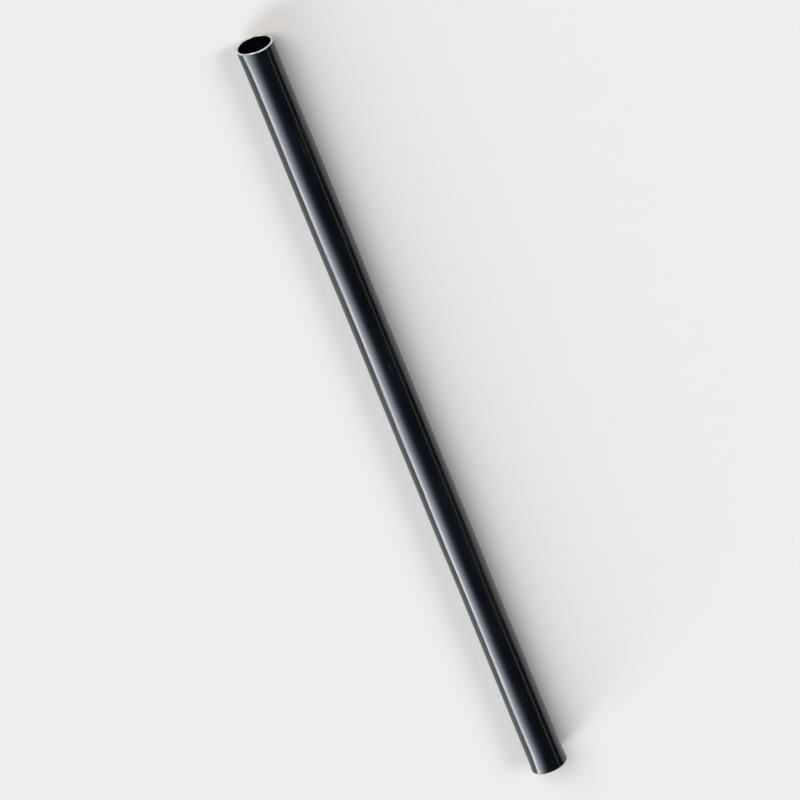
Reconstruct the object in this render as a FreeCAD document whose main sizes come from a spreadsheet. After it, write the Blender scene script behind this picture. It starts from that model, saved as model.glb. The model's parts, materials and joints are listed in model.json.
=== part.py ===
import FreeCAD, Part
import os
import Sketcher

# Plastic drinking straw: one straight extruded tube, lying on its side along X.
# Both ends are cut square by a knife that squeezes the soft tube as it passes,
# so each mouth is a slightly flattened oval that eases back into the round wall.
# Lengths are in millimetres, X runs along the straw and Z points up.

doc = FreeCAD.newDocument("drinking_straw")

# Driving dimensions

sizes = doc.addObject("Spreadsheet::Sheet", "sizes")
driving_dimensions = [
    ("outer_diameter", 6.0, "outside of the round wall"),
    ("wall_thickness", 0.35, "wall of the extruded tube"),
    ("straw_length", 146.0, "from one cut face to the other"),
    ("mouth_length", 6.0, "stretch at each end where the section turns oval"),
    ("mouth_squeeze", 0.15, "how far the knife moves the wall at a mouth, inwards above and below, outwards beside"),
    ("rim_rounding", 0.08, "radius of the softened edges round each cut face"),
]
for row, (alias, value, meaning) in enumerate(driving_dimensions, start=1):
    sizes.set(f"A{row}", meaning)
    sizes.set(f"B{row}", str(value))
    sizes.setAlias(f"B{row}", alias)
doc.recompute()

# The body is modelled about the straw's own axis and raised until its round wall touches the ground

straw = doc.addObject("PartDesign::Body", "straw")
straw.Label = "straw"
straw.setExpression("Placement.Base.z", "sizes.outer_diameter / 2")
cross_plane = next(plane for plane in straw.Origin.OriginFeatures if plane.Role == "YZ_Plane")

bore_diameter = "(sizes.outer_diameter - 2 * sizes.wall_thickness)"
mouth_start = "(sizes.straw_length / 2 - sizes.mouth_length)"


def cross_section(name, along):
    """Starts a sketch square across the straw, at a distance from its middle."""
    sketch = straw.newObject("Sketcher::SketchObject", name)
    sketch.AttachmentSupport = [(cross_plane, "")]
    sketch.MapMode = "FlatFace"
    sketch.setExpression("AttachmentOffset.Base.z", along)
    return sketch


def bind(sketch, constraint, label, expression):
    """Adds a constraint whose value follows an expression."""
    sketch.renameConstraint(sketch.addConstraint(constraint), label)
    sketch.setExpression(f"Constraints.{label}", expression)


def draw_circle(sketch, label, diameter):
    """Draws a circle about the straw's axis."""
    first_diameter = sizes.outer_diameter
    circle = sketch.addGeometry(Part.Circle(FreeCAD.Vector(), FreeCAD.Vector(0, 0, 1), first_diameter / 2))
    sketch.addConstraint(Sketcher.Constraint("Coincident", circle, 3, -1, 1))
    bind(sketch, Sketcher.Constraint("Diameter", circle, first_diameter), label, diameter)


def draw_oval(sketch, label, diameter, squeeze):
    """Draws an oval about the straw's axis: a circle squeezed from above and below."""
    first_width = sizes.outer_diameter + sizes.mouth_squeeze
    first_height = sizes.outer_diameter - sizes.mouth_squeeze
    side = FreeCAD.Vector(first_width / 2, 0, 0)
    top = FreeCAD.Vector(0, first_height / 2, 0)
    oval = sketch.addGeometry(Part.Ellipse(side, top, FreeCAD.Vector()))
    sketch.exposeInternalGeometry(oval)
    width_line = oval + 1
    height_line = oval + 2
    sketch.addConstraint(Sketcher.Constraint("Coincident", oval, 3, -1, 1))
    sketch.addConstraint(Sketcher.Constraint("Horizontal", width_line))
    width = Sketcher.Constraint("Distance", width_line, first_width)
    height = Sketcher.Constraint("Distance", height_line, first_height)
    bind(sketch, width, f"{label}_width", f"{diameter} + 2 * {squeeze}")
    bind(sketch, height, f"{label}_height", f"{diameter} - 2 * {squeeze}")


# Round wall: the tube as it leaves the die, short of both mouths

round_section = cross_section("round_section", "0 mm")
draw_circle(round_section, "outside", "sizes.outer_diameter")
draw_circle(round_section, "bore", bore_diameter)

round_wall = straw.newObject("PartDesign::Pad", "round_wall")
round_wall.Profile = (round_section, [""])
round_wall.SideType = "Symmetric"
round_wall.setExpression("Length", f"2 * {mouth_start}")
doc.recompute()

# Mouth: three sections whose squeeze grows with the square of the distance,
# so the loft through them leaves the round wall with no kink

mouth_root = cross_section("mouth_root", mouth_start)
draw_circle(mouth_root, "outside", "sizes.outer_diameter")
draw_circle(mouth_root, "bore", bore_diameter)

mouth_middle = cross_section("mouth_middle", f"{mouth_start} + sizes.mouth_length / 2")
draw_oval(mouth_middle, "outside", "sizes.outer_diameter", "sizes.mouth_squeeze / 4")
draw_oval(mouth_middle, "bore", bore_diameter, "sizes.mouth_squeeze / 4")

cut_face = cross_section("cut_face", "sizes.straw_length / 2")
draw_oval(cut_face, "outside", "sizes.outer_diameter", "sizes.mouth_squeeze")
draw_oval(cut_face, "bore", bore_diameter, "sizes.mouth_squeeze")

mouth = straw.newObject("PartDesign::AdditiveLoft", "mouth")
mouth.Profile = (mouth_root, [""])
mouth.Sections = [(mouth_middle, [""]), (cut_face, [""])]
mouth.Ruled = False
doc.recompute()

# The other end is cut by the same knife, so its mouth is a mirror image

both_mouths = straw.newObject("PartDesign::Mirrored", "both_mouths")
both_mouths.Originals = [mouth]
both_mouths.MirrorPlane = (cross_plane, [""])
straw.Tip = both_mouths
doc.recompute()

# The knife leaves no sharp corner: the inner and outer edges of both cut faces are softened

half_length = sizes.straw_length / 2


def lies_on_cut_face(edge):
    """Tells whether the whole edge lies in one of the two cut faces."""
    return all(abs(abs(end) - half_length) < 1e-4 for end in (edge.BoundBox.XMin, edge.BoundBox.XMax))


rim_edges = [f"Edge{count}" for count, edge in enumerate(both_mouths.Shape.Edges, start=1) if lies_on_cut_face(edge)]
softened_rims = straw.newObject("PartDesign::Fillet", "softened_rims")
softened_rims.Base = (both_mouths, rim_edges)
softened_rims.setExpression("Radius", "sizes.rim_rounding")
straw.Tip = softened_rims
doc.recompute()

# Every feature has to have been made, and the straw has to be one sound solid

for thing in doc.Objects:
    if "Invalid" in thing.State or "Error" in thing.State:
        raise RuntimeError(f"{thing.Name} was not made: {thing.State}")
if straw.Shape.isNull() or not straw.Shape.isValid() or len(straw.Shape.Solids) != 1:
    raise RuntimeError("the straw is not one sound solid")

os.makedirs("parts", exist_ok=True)
straw.Shape.exportStep(f"parts/{straw.Label}.step")
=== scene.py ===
import json
import math
import bpy
from mathutils import Matrix, Vector, noise


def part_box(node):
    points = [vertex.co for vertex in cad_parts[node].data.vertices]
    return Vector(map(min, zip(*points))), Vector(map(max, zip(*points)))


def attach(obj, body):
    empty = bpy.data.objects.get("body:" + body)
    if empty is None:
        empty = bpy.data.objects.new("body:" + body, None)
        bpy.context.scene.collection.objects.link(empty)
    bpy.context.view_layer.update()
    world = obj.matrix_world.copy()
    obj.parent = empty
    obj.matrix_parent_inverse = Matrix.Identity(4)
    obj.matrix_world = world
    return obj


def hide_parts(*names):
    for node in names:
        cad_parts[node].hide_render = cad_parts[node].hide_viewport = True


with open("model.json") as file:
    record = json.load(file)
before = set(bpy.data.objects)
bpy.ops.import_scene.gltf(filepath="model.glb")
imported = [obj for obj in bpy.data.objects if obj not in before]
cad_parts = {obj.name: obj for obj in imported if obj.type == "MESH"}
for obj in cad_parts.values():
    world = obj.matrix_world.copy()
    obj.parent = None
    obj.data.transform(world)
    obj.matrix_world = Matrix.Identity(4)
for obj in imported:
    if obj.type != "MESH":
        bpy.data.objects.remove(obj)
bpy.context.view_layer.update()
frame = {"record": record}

# The drinking straw
# One tube of black polypropylene, drawn from a ring-shaped die, cooled in water and chopped to length
# by a spinning knife. The knife squeezes the soft ends a little oval and leaves their cut edges a
# little pale; their pale colour here is also a painted highlight, standing in for the glint the rims
# catch.

mounts = {mount["name"]: mount["dims"] for mount in frame["record"]["mounts"]}
straw_low, straw_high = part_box("straw")
half_length = (straw_high.x - straw_low.x) / 2
outer_radius = mounts["outer_wall"]["r_mm"] / 1000
wall_thickness = outer_radius - mounts["bore"]["r_mm"] / 1000
round_end = mounts["bore"]["length_mm"] / 2000
mouth_squeeze = (straw_high.y - straw_low.y) / 2 - outer_radius
rim_rounding = 0.00008
rim_start = half_length - rim_rounding

draw_wander = 0.00006
draw_pitch = 0.022
draw_seed = 7.3
squeeze_angle = {1: math.radians(-32), -1: math.radians(9)}
corner_angle = {1: math.radians(24), -1: math.radians(200)}
corner_height = {1: 0.00012, -1: 0.0001}
corner_sharpness = 12
lip_length = 0.00035
lip_height = 0.00002
burr_height = 0.00002
burr_grain = 2.4
lip_start = half_length - lip_length


def outside_radius(along, angle):
    """Distance from the straw's axis to its outside, at an angle measured up from +Y."""
    end = math.copysign(1, along)
    mouth_share = max(0.0, (abs(along) - round_end) / (half_length - round_end))
    squeezed = mouth_squeeze * math.cos(2 * (angle - squeeze_angle[end]))
    corner = max(0.0, math.cos(angle - corner_angle[end])) ** corner_sharpness
    lip_share = max(0.0, (abs(along) - half_length) / lip_length + 1)
    turned = math.pi * noise.noise(Vector((along / draw_pitch, draw_seed, 0)))
    wander = draw_wander * math.cos(2 * angle + turned)
    mouth = (squeezed + corner_height[end] * corner) * mouth_share**2
    return outer_radius + wander * (1 - mouth_share) + mouth + lip_height * lip_share**2


def stations(start, stop, step):
    """Places from start up to stop, about a step apart, without stop itself."""
    count = round(abs(stop - start) / step)
    return [start + (stop - start) * index / count for index in range(count)]


def rim_stations(end):
    """One cut end from outside to bore, as pairs of place along and depth in the wall."""
    turns = [math.radians(angle) for angle in range(0, 91, 15)]
    outer_edge = [
        (end * (rim_start + rim_rounding * math.sin(turn)), rim_rounding * (1 - math.cos(turn)))
        for turn in turns
    ]
    bore_edge = [(along, wall_thickness - depth) for along, depth in reversed(outer_edge)]
    return outer_edge + [(end * half_length, wall_thickness / 2)] + bore_edge


# The outline runs along the outside, over one rim, back through the bore and over the other rim
lip_step = 0.00005
mouth_step = 0.0005
outside_step = 0.0015
bore_step = 0.004
outline = [(along, 0.0) for along in stations(-rim_start, -lip_start, lip_step)[1:]]
outline += [(along, 0.0) for along in stations(-lip_start, -round_end, mouth_step)]
outline += [(along, 0.0) for along in stations(-round_end, round_end, outside_step)]
outline += [(along, 0.0) for along in stations(round_end, lip_start, mouth_step)]
outline += [(along, 0.0) for along in stations(lip_start, rim_start, lip_step)]
outline += rim_stations(1)
outline += [(along, wall_thickness) for along in stations(rim_start, lip_start, lip_step)[1:]]
outline += [(along, wall_thickness) for along in stations(lip_start, round_end, mouth_step)]
outline += [(along, wall_thickness) for along in stations(round_end, -round_end, bore_step)]
outline += [(along, wall_thickness) for along in stations(-round_end, -lip_start, mouth_step)]
outline += [(along, wall_thickness) for along in stations(-lip_start, -rim_start, lip_step)]
outline += reversed(rim_stations(-1))

places_round = 144
points = []
for along, depth in outline:
    end = math.copysign(1, along)
    rim_share = max(0.0, (abs(along) - rim_start) / rim_rounding)
    for count in range(places_round):
        angle = 2 * math.pi * count / places_round
        around = Vector((end, math.cos(angle), math.sin(angle)))
        burr = burr_height * rim_share * noise.noise(burr_grain * around)
        reach = outside_radius(along, angle) - depth
        points.append((along + end * burr, reach * around.y, outer_radius + reach * around.z))

faces = []
for row in range(len(outline)):
    this_ring = row * places_round
    next_ring = (row + 1) % len(outline) * places_round
    for count in range(places_round):
        beside = (count + 1) % places_round
        faces.append((this_ring + count, this_ring + beside, next_ring + beside, next_ring + count))

tube_mesh = bpy.data.meshes.new("extruded_tube")
tube_mesh.from_pydata(points, [], faces)
tube_mesh.shade_smooth()

# Its map is the tube unrolled: once round across the map and the outline up it,
# with more room for the ends
end_room = 20
heights = [0.0]
for (along, depth), (next_along, next_depth) in zip(outline, outline[1:] + outline[:1]):
    room = end_room if abs(along + next_along) / 2 > lip_start else 1
    heights.append(heights[-1] + room * math.hypot(next_along - along, next_depth - depth))
unrolled = []
for low, high in zip(heights, heights[1:]):
    for count in range(places_round):
        left, right = count / places_round, (count + 1) / places_round
        for across, up in ((left, low), (right, low), (right, high), (left, high)):
            unrolled += (across, up / heights[-1])
tube_mesh.uv_layers.new(name="OFBake").uv.foreach_set("vector", unrolled)

# The finish: a soft gloss with faint die lines along the wall and faint smears from handling
plastic = bpy.data.materials.new("black_polypropylene")
plastic.use_nodes = True
nodes = plastic.node_tree.nodes
links = plastic.node_tree.links
skin = nodes["Principled BSDF"]
skin.inputs["IOR"].default_value = 1.49
place = nodes.new("ShaderNodeTexCoord").outputs["Object"]


def stretched_noise(stretch, scale, detail):
    """Noise over the straw, with its grain stretched along X by a factor."""
    squash = nodes.new("ShaderNodeVectorMath")
    squash.operation = "MULTIPLY"
    squash.inputs[1].default_value = (1 / stretch, 1, 1)
    links.new(place, squash.inputs[0])
    grain = nodes.new("ShaderNodeTexNoise")
    grain.inputs["Scale"].default_value = scale
    grain.inputs["Detail"].default_value = detail
    links.new(squash.outputs[0], grain.inputs["Vector"])
    return grain.outputs["Fac"]


def ranged(value, from_low, from_high, to_low, to_high):
    """A value carried smoothly from one range to another."""
    node = nodes.new("ShaderNodeMapRange")
    node.interpolation_type = "SMOOTHSTEP"
    for socket, number in zip(node.inputs[1:5], (from_low, from_high, to_low, to_high)):
        socket.default_value = number
    links.new(value, node.inputs["Value"])
    return node.outputs["Result"]


def blended(share, below, above):
    """One colour turning into another by a share."""
    node = nodes.new("ShaderNodeMix")
    node.data_type = "RGBA"
    links.new(share, node.inputs["Factor"])
    for socket, colour in zip(node.inputs[6:8], (below, above)):
        if isinstance(colour, tuple):
            socket.default_value = (*colour, 1)
        else:
            links.new(colour, socket)
    return node.outputs[2]


def calculated(operation, first, second):
    """A sum or product of two values."""
    node = nodes.new("ShaderNodeMath")
    node.operation = operation
    links.new(first, node.inputs[0])
    links.new(second, node.inputs[1])
    return node.outputs[0]


die_lines = stretched_noise(150, 2600, 4)
wall_waves = stretched_noise(5, 420, 2)
smears = stretched_noise(3, 190, 4)
scuffs = stretched_noise(14, 1900, 5)
knife_marks = stretched_noise(1, 900, 5)

apart = nodes.new("ShaderNodeSeparateXYZ")
links.new(place, apart.inputs[0])
from_middle = nodes.new("ShaderNodeMath")
from_middle.operation = "ABSOLUTE"
links.new(apart.outputs["X"], from_middle.inputs[0])
raggedness = ranged(knife_marks, 0.3, 0.7, -0.00003, 0.00003)
ragged_edge = calculated("ADD", from_middle.outputs[0], raggedness)
# The pale cut face is partly whitening from the knife and partly a painted highlight, standing in for
# the glint the rims catch
whitening_and_highlight_start = half_length - 0.00012
whitening_and_highlight_full = half_length - 0.00005
whitening_and_painted_highlight = ranged(ragged_edge, whitening_and_highlight_start, whitening_and_highlight_full, 0, 1)

clean_black = (0.0022, 0.0024, 0.0032)
smeared_black = (0.0036, 0.0040, 0.0054)
scuffed_black = (0.012, 0.0125, 0.014)
# The two pale cut colours: knife whitening together with a painted rim highlight
dull_cut_and_painted_highlight = (0.44, 0.44, 0.45)
white_cut_and_painted_highlight = (0.74, 0.74, 0.75)
black = blended(ranged(smears, 0.35, 0.7, 0, 1), clean_black, smeared_black)
scuffed = blended(ranged(scuffs, 0.60, 0.72, 0, 1), black, scuffed_black)
whitened_and_painted_highlight = blended(ranged(knife_marks, 0.35, 0.65, 0, 1), dull_cut_and_painted_highlight, white_cut_and_painted_highlight)
links.new(blended(whitening_and_painted_highlight, scuffed, whitened_and_painted_highlight), skin.inputs["Base Color"])

haze = ranged(smears, 0.32, 0.68, 0.11, 0.20)
haze = calculated("ADD", haze, ranged(die_lines, 0.35, 0.65, 0.0, 0.05))
haze = calculated("ADD", haze, ranged(scuffs, 0.60, 0.72, 0.0, 0.12))
links.new(calculated("ADD", haze, ranged(whitening_and_painted_highlight, 0, 1, 0, 0.35)), skin.inputs["Roughness"])

normal = None
for height, distance in (
    (wall_waves, 0.00003),
    (die_lines, 0.000008),
    (calculated("MULTIPLY", knife_marks, whitening_and_painted_highlight), 0.00001),
):
    relief = nodes.new("ShaderNodeBump")
    relief.inputs["Distance"].default_value = distance
    links.new(height, relief.inputs["Height"])
    if normal:
        links.new(normal, relief.inputs["Normal"])
    normal = relief.outputs["Normal"]
links.new(normal, skin.inputs["Normal"])
tube_mesh.materials.append(plastic)

tube = bpy.data.objects.new("extruded_tube", tube_mesh)
bpy.context.scene.collection.objects.link(tube)
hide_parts("straw")
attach(tube, "root")

# The table
# A plain board faced with a pale, dull laminate, which the straw lies on. It is large enough to run
# past the edges of every view.

table_half = 30
table_mesh = bpy.data.meshes.new("table")
table_corners = [
    (-table_half, -table_half, 0),
    (table_half, -table_half, 0),
    (table_half, table_half, 0),
    (-table_half, table_half, 0),
]
table_mesh.from_pydata(table_corners, [], [(0, 1, 2, 3)])
table = bpy.data.objects.new("table", table_mesh)
bpy.context.scene.collection.objects.link(table)

laminate = bpy.data.materials.new("pale_laminate")
laminate.use_nodes = True
laminate_skin = laminate.node_tree.nodes["Principled BSDF"]
laminate_skin.inputs["Base Color"].default_value = (0.84, 0.812, 0.787, 1)
laminate_skin.inputs["Roughness"].default_value = 0.9
laminate_skin.inputs["Specular IOR Level"].default_value = 0.1
table_mesh.materials.append(laminate)

# The camera
# It looks down on the lying straw from beyond its near mouth, turned so that this mouth is at the
# upper left and the straw runs down to the right, as it does in the photograph.

aim = Vector((0.003, 0, outer_radius))
camera_elevation = math.radians(60)
camera_distance = 1.2
lean_in_picture = math.radians(22.3)
share_of_height = 0.9

camera_data = bpy.data.cameras.new("camera")
camera = bpy.data.objects.new("camera", camera_data)
bpy.context.scene.collection.objects.link(camera)
bpy.context.scene.camera = camera
to_camera = Vector((math.cos(camera_elevation), 0, math.sin(camera_elevation)))
camera.location = aim + camera_distance * to_camera
upright = to_camera.to_track_quat("Z", "Y").to_matrix().to_4x4()
camera.rotation_euler = (upright @ Matrix.Rotation(math.pi - lean_in_picture, 4, "Z")).to_euler()
seen_length = 2 * half_length * math.sin(camera_elevation)
picture_height = seen_length * math.cos(lean_in_picture) / share_of_height
camera_data.lens = camera_data.sensor_width * camera_distance / picture_height

# The lamps
# Two wide soft lamps, one high behind the camera for the table and the near cut edge, and a weaker
# one from the straw's other side, so that no side of it is left without a sheen.


def soft_lamp(name, power, spread, direction):
    """A far soft lamp that shines from a direction and looks as wide as its spread in degrees."""
    lamp_data = bpy.data.lights.new(name, "SUN")
    lamp_data.energy = power
    lamp_data.angle = math.radians(spread)
    lamp_data.color = (1.0, 0.985, 0.955)
    lamp = bpy.data.objects.new(name, lamp_data)
    lamp.rotation_euler = Vector(direction).to_track_quat("Z", "Y").to_euler()
    bpy.context.scene.collection.objects.link(lamp)


soft_lamp("key", 2.3, 50, (0.64, 0.36, 0.68))
soft_lamp("fill", 1.0, 32, (0.12, -0.68, 0.72))

# The room
# Dim, with one long softbox low on the straw's left, white at its foot and dimmer and bluer higher
# up, and a thin strip on its right. Up to just over the horizon it is as pale as the table.

room = bpy.data.worlds.new("room")
bpy.context.scene.world = room
room.use_nodes = True
room_nodes = room.node_tree.nodes
room_links = room.node_tree.links


def room_value(operation, first, second=None):
    """A value worked out from one or two others that depend on the direction in the room."""
    node = room_nodes.new("ShaderNodeMath")
    node.operation = operation
    room_links.new(first, node.inputs[0])
    if second:
        room_links.new(second, node.inputs[1])
    return node.outputs[0]


def graded(value, stops):
    """Light that changes with a value, given as stops of value, strength and tint."""
    low, high = stops[0][0], stops[-1][0]
    spread = room_nodes.new("ShaderNodeMapRange")
    spread.inputs["From Min"].default_value = low
    spread.inputs["From Max"].default_value = high
    room_links.new(value, spread.inputs["Value"])
    ramp = room_nodes.new("ShaderNodeValToRGB")
    room_links.new(spread.outputs["Result"], ramp.inputs["Fac"])
    marks = ramp.color_ramp.elements
    for where, strength, tint in stops[1:-1]:
        marks.new((where - low) / (high - low))
    for mark, (where, strength, tint) in zip(marks, stops):
        mark.color = (*(strength * part for part in tint), 1)
    return ramp.outputs["Color"]


direction = room_nodes.new("ShaderNodeSeparateXYZ")
room_links.new(room_nodes.new("ShaderNodeTexCoord").outputs["Generated"], direction.inputs[0])
turn_left = room_value("ARCTAN2", direction.outputs["Y"], direction.outputs["Z"])

# By degrees from straight above towards the straw's left
white = (1, 1, 1)
strips = graded(room_value("DEGREES", turn_left), [
    (-90, 0.0, white),
    (-61, 0.0, white),
    (-58, 0.8, white),
    (-54, 0.8, white),
    (-51, 0.0, white),
    (-4, 0.0, (0.50, 0.70, 1)),
    (7, 0.05, (0.52, 0.71, 1)),
    (16, 0.20, (0.54, 0.73, 1)),
    (28, 0.92, (0.62, 0.78, 1)),
    (40, 2.75, (0.70, 0.83, 1)),
    (52, 5.4, (0.78, 0.88, 1)),
    (66, 7.4, (0.85, 0.92, 1)),
    (83, 14.5, (0.90, 0.95, 1)),
    (90, 16, (0.92, 0.955, 1)),
])
# By how far the direction points along the straw, from its far end to its near one
lengthwise = graded(direction.outputs["X"], [
    (-1, 0, white),
    (-0.68, 0, white),
    (-0.56, 1, white),
    (-0.38, 1, white),
    (-0.10, 0, white),
    (1, 0, white),
])
dim_light = (0.048, 0.062, 0.088)
above = room_nodes.new("ShaderNodeVectorMath")
above.operation = "MULTIPLY_ADD"
room_links.new(strips, above.inputs[0])
room_links.new(lengthwise, above.inputs[1])
above.inputs[2].default_value = dim_light

# By how high it points: from just over the horizon down, the light is the table's
pale_light = (0.857, 0.858, 0.864, 1)
low_down = room_nodes.new("ShaderNodeMapRange")
low_down.inputs["From Min"].default_value = 0.03
low_down.inputs["From Max"].default_value = 0.02
room_links.new(direction.outputs["Z"], low_down.inputs["Value"])
shade = room_nodes.new("ShaderNodeMix")
shade.data_type = "RGBA"
room_links.new(low_down.outputs["Result"], shade.inputs["Factor"])
room_links.new(above.outputs[0], shade.inputs[6])
shade.inputs[7].default_value = pale_light
room_links.new(shade.outputs[2], room_nodes["Background"].inputs["Color"])

bpy.context.scene.view_settings.view_transform = "Standard"
